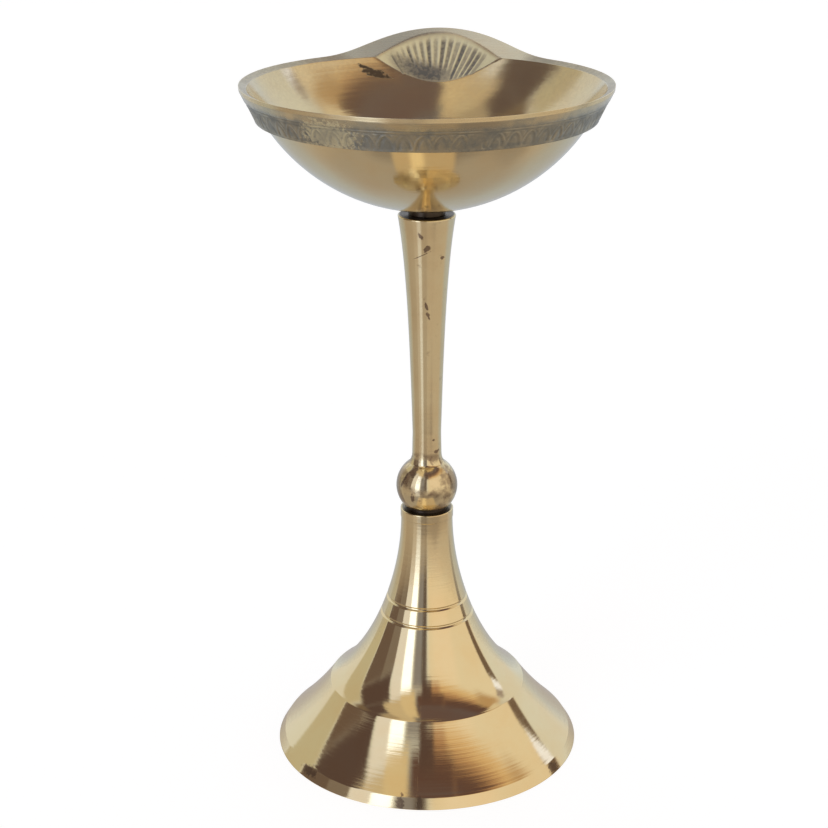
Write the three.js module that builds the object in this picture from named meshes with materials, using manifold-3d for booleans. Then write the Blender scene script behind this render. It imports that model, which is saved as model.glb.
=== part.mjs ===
// Pedestal diya: a turned brass oil lamp with a wick lip, in millimetres.
// +Z is up, the lamp stands on z = 0 and its wick lip points along +Y. Each piece is drawn round
// the turned axis, and the whole lamp is then moved so that the origin lies under its middle.

import * as THREE from 'three';
import { mergeVertices } from 'three/addons/utils/BufferGeometryUtils.js';
import Module from 'manifold-3d';

const wasm = await Module();
wasm.setup();

// Heights of the castings, stacked on the axis
const BASE_HEIGHT = 56.3;
const STEM_LENGTH = 66.2;
const BOSS_HEIGHT = 1.4;
const BOWL_DEPTH = 26.1;

// Base, outside: foot, skirt, shoulder, flared cone and collar
const FOOT_RADIUS = 34.0;
const FOOT_LAND = 2.6;
const BEVEL_HEIGHT = 2.2;
const BEVEL_INSET = 1.4;
const SKIRT_HOLLOW = 0.43;
const SHOULDER_HEIGHT = 14.6;
const SHOULDER_RADIUS = 21.9;
const CONE_FOOT_SLOPE = 1.6;
const CONE_LOWER_PULL = 0.117;
const CONE_UPPER_PULL = 0.44;
const COLLAR_RADIUS = 5.8;
const COLLAR_HEIGHT = 1.9;
const COLLAR_PROUD = 0.12;
const GROOVE_HEIGHTS = [31.4, 35.1];
const GROOVE_WIDTH = 0.7;
const GROOVE_DEPTH = 0.3;

// Base, inside: the cast hollow and the solid neck over it
const BASE_WALL = 1.9;
const NECK_LENGTH = 18.3;

// Stem: a tapered shaft that ends in a ball and a short foot
const STEM_TOP_RADIUS = 6.1;
const STEM_WAIST_RADIUS = 3.1;
const WAIST_ABOVE_BALL = 7.0;
const STEM_WAIST_FLARE = 0.03;
const STEM_TOP_FLARE = 0.17;
const SHAFT_LOWER_PULL = 0.28;
const SHAFT_UPPER_PULL = 0.26;
const STEM_EDGE = 0.3;
const BALL_RADIUS = 6.7;
const BALL_FLAT_RADIUS = 5.1;
const BALL_NECK_RADIUS = 3.9;
const FILLET_PROUD = 0.1;
const FILLET_PULL = 0.8;
const FILLET_HEIGHT = 2.4;
const STEM_FOOT_RADIUS = 4.3;
const STEM_FOOT_HEIGHT = 0.9;

// Bowl: boss, dome, ornament band, rim and turned inside
const BOSS_RADIUS = 3.9;
const RIM_RADIUS = 38.3;
const RIM_LAND = 0.9;
const RIM_LAND_DRAFT = 0.1;
const RIM_FACE_WIDTH = 1.6;
const RIM_FACE_DROP = 0.7;
const BAND_HEIGHT = 7.0;
const BAND_INSET = 3.1;
const BAND_LEDGE = 1.5;
const BOWL_FLOOR = 3.1;

// Wick lip: how far the rim swells out and up, and over what angle
const LIP_REACH = 9.0;
const LIP_RISE = 3.9;
const LIP_HALF_ANGLE = 41.5;
const LIP_SHARPNESS = 1.18;

// Wick channel: a trough cut through the rim, with a fan of ribs on its floor
const CHANNEL_DEPTH = 2.85;
const CHANNEL_SLOPE = 0.756;
const CHANNEL_CURVE_RADIUS = 19.5;
const FAN_APEX_INSET = 11.2;
const FAN_RIBS = 8;
const FAN_RIB_ANGLE = 5.6;
const FAN_ROOT = 10.5;
const FAN_FADE = 3.0;
const RIB_DEPTH = 0.35;

// Studs, washer and nut that hold the castings together
const STUD_RADIUS = 2.5;
const STUD_PITCH = 0.8;
const STUD_CHAMFER = 0.4;
const RUNNING_GAP = 0.05;
const BORE_END_GAP = 0.5;
const BOWL_STUD_IN_BOWL = 3.0;
const BOWL_STUD_TURNS = 10;
const BASE_STUD_IN_STEM = 9.0;
const WASHER_RADIUS = 5.0;
const WASHER_THICKNESS = 1.0;
const NUT_ACROSS_FLATS = 8.0;
const NUT_HEIGHT = 4.0;
const NUT_BLANK_OVERSIZE = 1.01;
const STUD_BEYOND_NUT = 1.6;

// Facets: sides round the axis, degrees between the bowl's columns, and steps along each curve
const BASE_SIDES = 56;
const STEM_SIDES = 36;
const STUD_SIDES = 24;
const BOWL_COLUMN_ANGLE = 6;
const LIP_COLUMN_ANGLE = 3;
const OUTSIDE_STEPS = { skirt: 6, cone: 13 };
const HOLLOW_STEPS = { skirt: 4, cone: 9 };
const STEM_STEPS = { ballFoot: 5, ballTop: 6, fillet: 3, shaft: 11 };
const BOWL_STEPS = { dome: 7, inside: 8 };
const CHANNEL_STEPS = 7;

// Room that a cutting or trimming body has beyond what it cuts, and the plain rays beside the fan
const CUTTER_MARGIN = 3;
const CUTTER_HEADROOM = 12;
const SIDE_RAYS = 3;
const SIDE_RAY_ANGLE = 10;

// Vertices closer than this are one vertex of a solid
const MERGE_DISTANCE = 1e-4;

// Levels and radii worked out from the sizes above
const BORE_RADIUS = STUD_RADIUS + RUNNING_GAP;
const STEM_TOP = BASE_HEIGHT + STEM_LENGTH;
const DOME_BOTTOM = STEM_TOP + BOSS_HEIGHT;
const RIM_HEIGHT = DOME_BOTTOM + BOWL_DEPTH;
const BAND_FOOT = RIM_HEIGHT - BAND_HEIGHT;
const BAND_FOOT_RADIUS = RIM_RADIUS - BAND_INSET;
const RIM_INNER_RADIUS = RIM_RADIUS - RIM_FACE_WIDTH;
const RIM_INNER_HEIGHT = RIM_HEIGHT - RIM_FACE_DROP;
const INSIDE_BOTTOM = DOME_BOTTOM + BOWL_FLOOR;
const CEILING = BASE_HEIGHT - NECK_LENGTH;
const BOWL_STUD_IN_STEM = BOWL_STUD_TURNS * STUD_PITCH;

const BRASS = { color: 0xc2a36a, roughness: 0.22, metalness: 1.0 };
const OLD_BRASS = { color: 0xa98c58, roughness: 0.38, metalness: 1.0 };
const STEEL = { color: 0x9c9a94, roughness: 0.35, metalness: 1.0 };

function point(radius, height) {
  return new THREE.Vector2(radius, height);
}

// A gently hollow curve between two profile points, sagging towards the lower left of the profile
function hollowCurve(from, to, sag, steps) {
  const chord = to.clone().sub(from).normalize();
  const inward = point(-Math.abs(chord.y), -Math.abs(chord.x));
  const middle = from.clone().add(to).multiplyScalar(0.5).addScaledVector(inward, 2 * sag);
  return new THREE.QuadraticBezierCurve(from, middle, to).getPoints(steps);
}

// An arc of the circle with its middle on the axis, between two radii, on its upper or lower side
function arcOnAxis(middle, radius, fromRadius, toRadius, side, steps) {
  const points = [];
  const start = Math.asin(Math.min(fromRadius / radius, 1));
  const end = Math.asin(Math.min(toRadius / radius, 1));
  for (let i = 0; i <= steps; i += 1) {
    const angle = start + (end - start) * i / steps;
    points.push(point(radius * Math.sin(angle), middle + side * radius * Math.cos(angle)));
  }
  return points;
}

// The radius of the circle through the axis at its lowest point and through a rim above it
function capRadius(rimRadius, depth) {
  return (rimRadius * rimRadius + depth * depth) / (2 * depth);
}

function radiusAt(profile, height) {
  for (let i = 1; i < profile.length; i += 1) {
    const a = profile[i - 1];
    const b = profile[i];
    if ((a.y - height) * (b.y - height) <= 0 && a.y !== b.y) {
      return a.x + (b.x - a.x) * (height - a.y) / (b.y - a.y);
    }
  }
  return profile.at(-1).x;
}

function turned(profile, sides) {
  const geometry = new THREE.LatheGeometry(profile, sides);
  geometry.rotateX(Math.PI / 2);
  return geometry;
}

function toSolid(geometry) {
  const bare = geometry.clone();
  bare.deleteAttribute('normal');
  bare.deleteAttribute('uv');
  const merged = mergeVertices(bare, MERGE_DISTANCE);
  const index = merged.index.array;
  const kept = [];
  for (let i = 0; i < index.length; i += 3) {
    const [a, b, c] = [index[i], index[i + 1], index[i + 2]];
    if (a !== b && b !== c && c !== a) {
      kept.push(a, b, c);
    }
  }
  return new wasm.Manifold(new wasm.Mesh({
    numProp: 3,
    vertProperties: Float32Array.from(merged.attributes.position.array),
    triVerts: Uint32Array.from(kept),
  }));
}

function toGeometry(solid) {
  const mesh = solid.getMesh();
  const geometry = new THREE.BufferGeometry();
  geometry.setAttribute('position', new THREE.BufferAttribute(mesh.vertProperties, 3));
  geometry.setIndex(new THREE.BufferAttribute(mesh.triVerts, 1));
  geometry.computeVertexNormals();
  return geometry;
}

// A closed skin over a grid of points, where grid[column][row] starts and ends on the axis
// and the columns go round it counter-clockwise seen from above
function skinRoundAxis(grid) {
  const positions = grid.flat().flatMap((p) => [p.x, p.y, p.z]);
  const rows = grid[0].length;
  const index = [];
  for (let column = 0; column < grid.length; column += 1) {
    const here = column * rows;
    const next = ((column + 1) % grid.length) * rows;
    for (let row = 0; row + 1 < rows; row += 1) {
      index.push(here + row, next + row, next + row + 1);
      index.push(here + row, next + row + 1, here + row + 1);
    }
  }
  const geometry = new THREE.BufferGeometry();
  geometry.setAttribute('position', new THREE.Float32BufferAttribute(positions, 3));
  geometry.setIndex(index);
  return geometry;
}

// Base: the cone flares down from the collar to the shoulder's edge and has two turned grooves
function coneCurve() {
  const top = point(COLLAR_RADIUS - COLLAR_PROUD, BASE_HEIGHT - COLLAR_HEIGHT);
  const foot = point(SHOULDER_RADIUS, SHOULDER_HEIGHT);
  const height = top.y - foot.y;
  const lowerPull = CONE_LOWER_PULL * height;
  return new THREE.CubicBezierCurve(
    foot,
    point(foot.x - CONE_FOOT_SLOPE * lowerPull, foot.y + lowerPull),
    point(top.x, top.y - CONE_UPPER_PULL * height),
    top,
  );
}

function grooved(profile, heights) {
  const half = GROOVE_WIDTH / 2;
  const plain = profile.filter((p) => heights.every((h) => Math.abs(p.y - h) > GROOVE_WIDTH));
  const cuts = heights.flatMap((h) => [
    point(radiusAt(profile, h - half), h - half),
    point(radiusAt(profile, h) - GROOVE_DEPTH, h),
    point(radiusAt(profile, h + half), h + half),
  ]);
  return [...plain, ...cuts].sort((a, b) => a.y - b.y);
}

function skirtCurve(steps) {
  const bevelTop = point(FOOT_RADIUS - BEVEL_INSET, BEVEL_HEIGHT);
  const shoulder = point(SHOULDER_RADIUS, SHOULDER_HEIGHT);
  return hollowCurve(bevelTop, shoulder, SKIRT_HOLLOW, steps);
}

// The cast hollow follows the outside at the wall's thickness, skips the sharp shoulder and
// ends at the flat ceiling
function castHollow(outside) {
  const kept = [point(FOOT_RADIUS - FOOT_LAND, 0)];
  outside.forEach((p, i) => {
    const before = outside[Math.max(i - 1, 0)];
    const after = outside[Math.min(i + 1, outside.length - 1)];
    const along = after.clone().sub(before).normalize();
    const inner = point(p.x - along.y * BASE_WALL, p.y + along.x * BASE_WALL);
    const last = kept.at(-1);
    if (inner.y > last.y && inner.x < last.x) {
      kept.push(inner);
    }
  });
  return [...kept.filter((p) => p.y < CEILING), point(radiusAt(kept, CEILING), CEILING)];
}

function makeBase() {
  const outside = [
    point(FOOT_RADIUS, 0),
    ...skirtCurve(OUTSIDE_STEPS.skirt),
    ...grooved(coneCurve().getPoints(OUTSIDE_STEPS.cone), GROOVE_HEIGHTS).slice(1),
    point(COLLAR_RADIUS, BASE_HEIGHT - COLLAR_HEIGHT),
    point(COLLAR_RADIUS, BASE_HEIGHT - COLLAR_PROUD),
    point(COLLAR_RADIUS - COLLAR_PROUD, BASE_HEIGHT),
  ];
  const hollow = castHollow([
    ...skirtCurve(HOLLOW_STEPS.skirt),
    ...coneCurve().getPoints(HOLLOW_STEPS.cone).slice(1),
  ]);
  const bore = [point(BORE_RADIUS, CEILING), point(BORE_RADIUS, BASE_HEIGHT)];
  const loop = [...hollow.reverse(), ...outside, ...bore.reverse()];
  return turned([...loop, loop[0].clone()], BASE_SIDES);
}

// Stem: the shaft swells from a slim waist over the ball to the seat under the bowl
function shaftCurve(waist) {
  const top = STEM_TOP - STEM_EDGE;
  const lowerPull = SHAFT_LOWER_PULL * (top - waist);
  const upperPull = SHAFT_UPPER_PULL * (top - waist);
  return new THREE.CubicBezierCurve(
    point(STEM_WAIST_RADIUS, waist),
    point(STEM_WAIST_RADIUS + STEM_WAIST_FLARE * lowerPull, waist + lowerPull),
    point(STEM_TOP_RADIUS - STEM_TOP_FLARE * upperPull, top - upperPull),
    point(STEM_TOP_RADIUS, top),
  );
}

// The short foot, the ball, the fillet over it and the shaft, with a bore at each end
function makeStem() {
  const ballMiddle = BASE_HEIGHT + STEM_FOOT_HEIGHT
    + Math.sqrt(BALL_RADIUS ** 2 - BALL_FLAT_RADIUS ** 2);
  const ballTop = ballMiddle + Math.sqrt(BALL_RADIUS ** 2 - BALL_NECK_RADIUS ** 2);
  const waist = ballTop + WAIST_ABOVE_BALL;
  const ball = [
    ...arcOnAxis(ballMiddle, BALL_RADIUS, BALL_FLAT_RADIUS, BALL_RADIUS, -1, STEM_STEPS.ballFoot),
    ...arcOnAxis(ballMiddle, BALL_RADIUS, BALL_RADIUS, BALL_NECK_RADIUS, 1, STEM_STEPS.ballTop).slice(1),
  ];
  const fillet = new THREE.QuadraticBezierCurve(
    point(BALL_NECK_RADIUS, ballTop),
    point(STEM_WAIST_RADIUS + FILLET_PROUD, ballTop + FILLET_PULL),
    point(STEM_WAIST_RADIUS + FILLET_PROUD, ballTop + FILLET_HEIGHT),
  ).getPoints(STEM_STEPS.fillet);
  const lowerBoreTop = BASE_HEIGHT + BASE_STUD_IN_STEM + BORE_END_GAP;
  const upperBoreFloor = STEM_TOP - BOWL_STUD_IN_STEM - BORE_END_GAP;
  return turned([
    point(0, lowerBoreTop),
    point(BORE_RADIUS, lowerBoreTop),
    point(BORE_RADIUS, BASE_HEIGHT),
    point(STEM_FOOT_RADIUS, BASE_HEIGHT),
    point(STEM_FOOT_RADIUS, BASE_HEIGHT + STEM_FOOT_HEIGHT),
    ...ball,
    ...fillet.slice(1),
    ...shaftCurve(waist).getPoints(STEM_STEPS.shaft),
    point(STEM_TOP_RADIUS - STEM_EDGE, STEM_TOP),
    point(BORE_RADIUS, STEM_TOP),
    point(BORE_RADIUS, upperBoreFloor),
    point(0, upperBoreFloor),
  ], STEM_SIDES);
}

// Bowl: how much of the lip's reach and rise the rim has at an angle from the lip's middle
function lipSwell(angle) {
  const share = Math.min(Math.abs(angle) / THREE.MathUtils.degToRad(LIP_HALF_ANGLE), 1);
  return (0.5 * (1 + Math.cos(Math.PI * share))) ** LIP_SHARPNESS;
}

// The angles of the bowl's columns, counter-clockwise from the back, closer together at the lip
function bowlAngles() {
  const angles = [];
  const lipColumns = Math.ceil(LIP_HALF_ANGLE / LIP_COLUMN_ANGLE);
  for (let i = -lipColumns; i <= lipColumns; i += 1) {
    angles.push(LIP_HALF_ANGLE * i / lipColumns);
  }
  const rest = 360 - 2 * LIP_HALF_ANGLE;
  const columns = Math.round(rest / BOWL_COLUMN_ANGLE);
  for (let i = 1; i < columns; i += 1) {
    angles.push(LIP_HALF_ANGLE + rest * i / columns);
  }
  return angles.map((degrees) => THREE.MathUtils.degToRad(degrees));
}

// The bowl's half section where the rim swells by a given share: boss, dome, band, rim and inside
function bowlSection(swell) {
  const domeRadius = BAND_FOOT_RADIUS - BAND_LEDGE;
  const domeCurve = capRadius(domeRadius, BAND_FOOT - DOME_BOTTOM);
  const insideCurve = capRadius(RIM_INNER_RADIUS, RIM_INNER_HEIGHT - INSIDE_BOTTOM);
  const domeMiddle = DOME_BOTTOM + domeCurve;
  const insideMiddle = INSIDE_BOTTOM + insideCurve;
  const studTop = STEM_TOP + BOWL_STUD_IN_BOWL + BORE_END_GAP;
  const edge = point(RIM_RADIUS + LIP_REACH * swell, RIM_HEIGHT + LIP_RISE * swell);
  const land = point(edge.x - RIM_LAND_DRAFT, edge.y - RIM_LAND);
  const bandFoot = point(BAND_FOOT_RADIUS, BAND_FOOT);
  const faceFoot = point(RIM_INNER_RADIUS, RIM_INNER_HEIGHT);
  return [
    point(0, studTop),
    point(BORE_RADIUS, studTop),
    point(BORE_RADIUS, STEM_TOP),
    point(BOSS_RADIUS, STEM_TOP),
    ...arcOnAxis(domeMiddle, domeCurve, BOSS_RADIUS, domeRadius, -1, BOWL_STEPS.dome),
    bandFoot,
    bandFoot.clone().lerp(land, 0.5),
    land,
    edge,
    edge.clone().lerp(faceFoot, 0.5),
    ...arcOnAxis(insideMiddle, insideCurve, RIM_INNER_RADIUS, 0, -1, BOWL_STEPS.inside),
  ];
}

// Positive angles turn clockwise from +Y seen from above, so the columns are taken in reverse
function bowlSkin() {
  const grid = bowlAngles().reverse().map((angle) => bowlSection(lipSwell(wrapped(angle))).map(
    (p) => new THREE.Vector3(p.x * Math.sin(angle), p.x * Math.cos(angle), p.y),
  ));
  return skinRoundAxis(grid);
}

function wrapped(angle) {
  return angle > Math.PI ? angle - 2 * Math.PI : angle;
}

function channelFloor(x, y) {
  const run = y - RIM_INNER_RADIUS;
  return RIM_INNER_HEIGHT - CHANNEL_DEPTH + CHANNEL_SLOPE * run + x * x / (2 * CHANNEL_CURVE_RADIUS);
}

// The angles of the fan's rays from its apex, ridge and valley by turns, with plain floor beside them
function fanRays() {
  const rays = [];
  const halfStep = FAN_RIB_ANGLE / 2;
  for (let i = -2 * FAN_RIBS; i <= 2 * FAN_RIBS; i += 1) {
    rays.push({ angle: i * halfStep, valley: Math.abs(i) % 2 === 1 });
  }
  for (let i = 1; i <= SIDE_RAYS; i += 1) {
    const angle = 2 * FAN_RIBS * halfStep + SIDE_RAY_ANGLE * i;
    rays.push({ angle, valley: false });
    rays.unshift({ angle: -angle, valley: false });
  }
  return rays.map((ray) => ({ angle: THREE.MathUtils.degToRad(ray.angle), valley: ray.valley }));
}

// The fan's valleys start a little way out from its apex and deepen to their full depth
function valleyDepth(run) {
  return RIB_DEPTH * THREE.MathUtils.clamp((run - FAN_ROOT) / FAN_FADE, 0, 1);
}

// The cutter that scoops the wick channel: its underside is the ribbed floor
function channelCutter() {
  const apex = RIM_INNER_RADIUS - FAN_APEX_INSET;
  const nearest = CUTTER_MARGIN;
  const farthest = RIM_RADIUS + LIP_REACH - apex + CUTTER_MARGIN;
  const top = RIM_HEIGHT + LIP_RISE + CUTTER_HEADROOM;
  const rays = fanRays();
  const positions = [];
  for (const lid of [false, true]) {
    for (const ray of rays) {
      for (let i = 0; i <= CHANNEL_STEPS; i += 1) {
        const run = nearest + (farthest - nearest) * i / CHANNEL_STEPS;
        const x = run * Math.sin(ray.angle);
        const y = apex + run * Math.cos(ray.angle);
        const floor = channelFloor(x, y) - (ray.valley ? valleyDepth(run) : 0);
        positions.push(x, y, lid ? top : floor);
      }
    }
  }
  const geometry = new THREE.BufferGeometry();
  geometry.setAttribute('position', new THREE.Float32BufferAttribute(positions, 3));
  geometry.setIndex(boxedGridIndex(rays.length, CHANNEL_STEPS + 1));
  return toSolid(geometry);
}

// The triangles of a closed block whose underside and lid are two equal grids
function boxedGridIndex(columns, rows) {
  const lid = columns * rows;
  const index = [];
  const quad = (a, b, c, d) => index.push(a, b, c, a, c, d);
  for (let i = 0; i + 1 < columns; i += 1) {
    for (let j = 0; j + 1 < rows; j += 1) {
      const a = i * rows + j;
      quad(a, a + 1, a + rows + 1, a + rows);
      quad(lid + a, lid + a + rows, lid + a + rows + 1, lid + a + 1);
    }
  }
  for (let i = 0; i + 1 < columns; i += 1) {
    const near = i * rows;
    const far = near + rows - 1;
    quad(near, near + rows, lid + near + rows, lid + near);
    quad(far + rows, far, lid + far, lid + far + rows);
  }
  const last = (columns - 1) * rows;
  for (let j = 0; j + 1 < rows; j += 1) {
    quad(j + 1, j, lid + j, lid + j + 1);
    quad(last + j, last + j + 1, lid + last + j + 1, lid + last + j);
  }
  return index;
}

function makeBowl() {
  return toGeometry(toSolid(bowlSkin()).subtract(channelCutter()));
}

// Studs, washer and nut
function makeStud(bottom, top) {
  return turned([
    point(0, bottom),
    point(STUD_RADIUS - STUD_CHAMFER, bottom),
    point(STUD_RADIUS, bottom + STUD_CHAMFER),
    point(STUD_RADIUS, top - STUD_CHAMFER),
    point(STUD_RADIUS - STUD_CHAMFER, top),
    point(0, top),
  ], STUD_SIDES);
}

function makeWasher() {
  const bottom = CEILING - WASHER_THICKNESS;
  const profile = [
    point(BORE_RADIUS, bottom),
    point(WASHER_RADIUS, bottom),
    point(WASHER_RADIUS, CEILING),
    point(BORE_RADIUS, CEILING),
    point(BORE_RADIUS, bottom),
  ];
  return turned(profile, STUD_SIDES);
}

// A hexagon prism whose corners are chamfered by a turned blank
function makeNut() {
  const top = CEILING - WASHER_THICKNESS;
  const bottom = top - NUT_HEIGHT;
  const flatRadius = NUT_ACROSS_FLATS / 2;
  const cornerRadius = flatRadius / Math.cos(Math.PI / 6);
  const hexagon = turned([
    point(0, bottom - CUTTER_MARGIN),
    point(cornerRadius, bottom - CUTTER_MARGIN),
    point(cornerRadius, top + CUTTER_MARGIN),
    point(0, top + CUTTER_MARGIN),
  ], 6);
  const blankRadius = cornerRadius * NUT_BLANK_OVERSIZE;
  const chamfer = blankRadius - flatRadius;
  const blank = turned([
    point(BORE_RADIUS, bottom),
    point(flatRadius, bottom),
    point(blankRadius, bottom + chamfer),
    point(blankRadius, top - chamfer),
    point(flatRadius, top),
    point(BORE_RADIUS, top),
    point(BORE_RADIUS, bottom),
  ], STUD_SIDES);
  return toGeometry(toSolid(blank).intersect(toSolid(hexagon)));
}

// The lamp stands with the middle of its outline over the origin, so its axis lies behind it
const lamp = new THREE.Group();
lamp.position.y = -LIP_REACH / 2;

function addPiece(name, geometry, finish) {
  const mesh = new THREE.Mesh(geometry, new THREE.MeshStandardMaterial(finish));
  mesh.name = name;
  lamp.add(mesh);
}

addPiece('base', makeBase(), BRASS);
addPiece('stem', makeStem(), BRASS);
addPiece('bowl', makeBowl(), BRASS);
addPiece('bowl_stud', makeStud(STEM_TOP - BOWL_STUD_IN_STEM, STEM_TOP + BOWL_STUD_IN_BOWL), OLD_BRASS);
const studFoot = CEILING - WASHER_THICKNESS - NUT_HEIGHT - STUD_BEYOND_NUT;
addPiece('base_stud', makeStud(studFoot, BASE_HEIGHT + BASE_STUD_IN_STEM), OLD_BRASS);
addPiece('washer', makeWasher(), STEEL);
addPiece('nut', makeNut(), STEEL);

export default lamp;
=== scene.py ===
import math

import bpy
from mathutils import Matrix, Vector


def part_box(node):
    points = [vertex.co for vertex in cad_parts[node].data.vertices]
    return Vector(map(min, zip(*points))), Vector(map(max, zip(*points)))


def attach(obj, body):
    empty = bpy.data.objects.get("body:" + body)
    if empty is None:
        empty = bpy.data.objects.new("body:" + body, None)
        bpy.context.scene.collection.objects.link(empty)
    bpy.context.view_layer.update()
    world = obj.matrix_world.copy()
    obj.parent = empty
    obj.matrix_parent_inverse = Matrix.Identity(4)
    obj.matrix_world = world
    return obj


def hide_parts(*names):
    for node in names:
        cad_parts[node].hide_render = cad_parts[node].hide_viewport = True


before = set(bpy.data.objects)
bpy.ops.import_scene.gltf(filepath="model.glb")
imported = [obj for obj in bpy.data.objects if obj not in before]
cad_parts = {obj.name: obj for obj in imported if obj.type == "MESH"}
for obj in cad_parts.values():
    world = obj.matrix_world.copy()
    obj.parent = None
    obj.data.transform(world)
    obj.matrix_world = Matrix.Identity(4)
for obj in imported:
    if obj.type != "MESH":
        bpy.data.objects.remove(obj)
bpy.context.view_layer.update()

# Pedestal diya: a turned brass oil lamp with a wick lip. Shapes are drawn in millimetres round the
# lamp's turned axis and placed in metres; the wick lip points along +Y.
MM = 0.001
BASE_LOW, BASE_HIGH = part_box("base")
AXIS = (BASE_LOW + BASE_HIGH) / 2

# Levels that the frame gives
FOOT_RADIUS = (BASE_HIGH.x - BASE_LOW.x) / 2 / MM
BASE_TOP = BASE_HIGH.z / MM
STEM_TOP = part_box("stem")[1].z / MM
RIM_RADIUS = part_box("bowl")[1].x / MM
LIP_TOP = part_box("bowl")[1].z / MM
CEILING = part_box("washer")[1].z / MM
WASHER_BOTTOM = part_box("washer")[0].z / MM
NUT_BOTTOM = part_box("nut")[0].z / MM

# Base
FOOT_LAND = 2.6
BEVEL_HEIGHT = 2.2
BEVEL_INSET = 1.4
SKIRT_HOLLOW = 0.43
SHOULDER_HEIGHT = 14.6
SHOULDER_RADIUS = 21.9
CONE_FOOT_SLOPE = 1.6
CONE_LOWER_PULL = 0.117
CONE_UPPER_PULL = 0.44
COLLAR_RADIUS = 5.8
COLLAR_HEIGHT = 1.9
COLLAR_PROUD = 0.12
GROOVE_HEIGHTS = (31.4, 35.1)
GROOVE_WIDTH = 0.7
GROOVE_DEPTH = 0.3
GROOVE_LIP = 1.5
GROOVE_CLEAR = 1.6
FOOT_ROUND = 0.12
BEVEL_ROUND = 0.15
SHOULDER_ROUND = 0.12
BASE_WALL = 1.9

# Stem
STEM_TOP_RADIUS = 6.1
STEM_WAIST_RADIUS = 3.1
WAIST_ABOVE_BALL = 7.0
STEM_WAIST_FLARE = 0.03
STEM_TOP_FLARE = 0.17
SHAFT_LOWER_PULL = 0.28
SHAFT_UPPER_PULL = 0.26
STEM_EDGE = 0.3
BALL_RADIUS = 6.7
BALL_FLAT_RADIUS = 5.1
BALL_NECK_RADIUS = 3.9
FILLET_PROUD = 0.1
FILLET_PULL = 0.8
FILLET_HEIGHT = 2.4
STEM_FOOT_RADIUS = 4.3
STEM_FOOT_HEIGHT = 0.9

# Bowl
BOSS_RADIUS = 3.9
BOSS_HEIGHT = 1.4
BOWL_DEPTH = 26.1
RIM_LAND = 0.9
RIM_LAND_DRAFT = 0.1
RIM_FACE_WIDTH = 1.6
RIM_FACE_DROP = 0.7
BAND_HEIGHT = 7.0
BAND_INSET = 3.1
BAND_LEDGE = 1.5
BOWL_FLOOR = 3.1
LIP_REACH = 9.0
LIP_HALF_ANGLE = math.radians(41.5)
LIP_SHARPNESS = 1.18
CHANNEL_DEPTH = 2.85
CHANNEL_SLOPE = 0.756
CHANNEL_CURVE_RADIUS = 19.5
FAN_APEX_INSET = 11.2
FAN_RIBS = 8
FAN_RIB_ANGLE = math.radians(5.6)
FAN_ROOT = 10.5
FAN_FADE = 3.0
FAN_MARGIN = 1.1
FAN_SIDE_MARGIN = 0.6
FAN_SOFT_END = 1.2
POOL_PLACE = (-3.4, 35.5)
POOL_REACH = (7.4, 2.9)
POOL_LEAN = 0.1
POOL_EDGE = 1.3
RIB_DEPTH = 0.42
SLOT_SHARPNESS = 2.0
SLOT_NARROWING = 0.35
SLOT_WIDENING = 0.5
GROOVE_TARNISH = 0.95
WALL_DULLNESS = 0.2
FACE_DULLNESS = 0.5
DULL_FROM = 22.0
LEDGE_ROUND = 0.1
BOSS_EDGE = 0.1
BOSS_FILLET = 0.2
HAIRLINE = 0.02
NEAR_LAND = 0.08

# Stains: turn from the camera's side in degrees, height, half width, half height in mm, and slant
STEM_MARKS = (
    (-9, 119.0, 0.45, 0.9, -0.5),
    (5, 116.4, 0.75, 0.8, 0.5),
    (-4, 115.0, 0.2, 1.2, 1.95),
    (44, 114.1, 0.6, 0.4, 0.0),
    (2, 103.6, 0.3, 1.3, -0.3),
    (8, 101.4, 0.4, 1.0, -0.3),
    (31, 73.0, 0.35, 0.3, 0.0),
    (45, 70.2, 0.9, 0.45, 0.8),
    (-50, 64.0, 0.5, 2.2, 0.3),
    (-24, 60.6, 0.5, 1.0, 0.0),
)
BASE_MARKS = (
    (-48, 1.5, 2.6, 1.0, 0.0),
    (-6, 1.1, 1.0, 1.4, 0.0),
    (1, 1.2, 0.8, 1.4, 0.0),
    (61, 1.1, 1.8, 1.0, 0.0),
)
LIP_BRUISES = (
    (-154, 147.3, 1.1, 0.8, 2.2),
    (-156.5, 146.3, 2.3, 0.9, 2.4),
    (-158, 145.6, 2.0, 0.7, 2.6),
)
# A painted highlight on the ornament band: a patch where its patina is left off and pale chalk laid on, in
# the same terms
BAND_HIGHLIGHT = (-27, 145.4, 6.5, 3.2, 0.0)
# How ragged the edge of each of these is
RAGGEDNESS = 2.2

# Studs, washer and nut
STUD_RADIUS = 2.5
STUD_PITCH = 0.8
STUD_CHAMFER = 0.4
STUD_END_ROUND = 0.1
THREAD_DEPTH = 0.42
THREAD_STEEPNESS = 1.15
RUNNING_GAP = 0.05
BORE_RADIUS = STUD_RADIUS + RUNNING_GAP
BORE_END_GAP = 0.5
NUT_ACROSS_FLATS = 8.0
NUT_CHAMFER = math.radians(35)
NUT_SINK = 0.35
WASHER_UPPER_ROUND = 0.12
WASHER_LOWER_ROUND = 0.2

DOME_BOTTOM = STEM_TOP + BOSS_HEIGHT
RIM_HEIGHT = DOME_BOTTOM + BOWL_DEPTH
LIP_RISE = LIP_TOP - RIM_HEIGHT
BAND_FOOT = RIM_HEIGHT - BAND_HEIGHT
BAND_FOOT_RADIUS = RIM_RADIUS - BAND_INSET
RIM_INNER_RADIUS = RIM_RADIUS - RIM_FACE_WIDTH
RIM_INNER_HEIGHT = RIM_HEIGHT - RIM_FACE_DROP
INSIDE_BOTTOM = DOME_BOTTOM + BOWL_FLOOR
FAN_APEX = RIM_INNER_RADIUS - FAN_APEX_INSET

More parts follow.
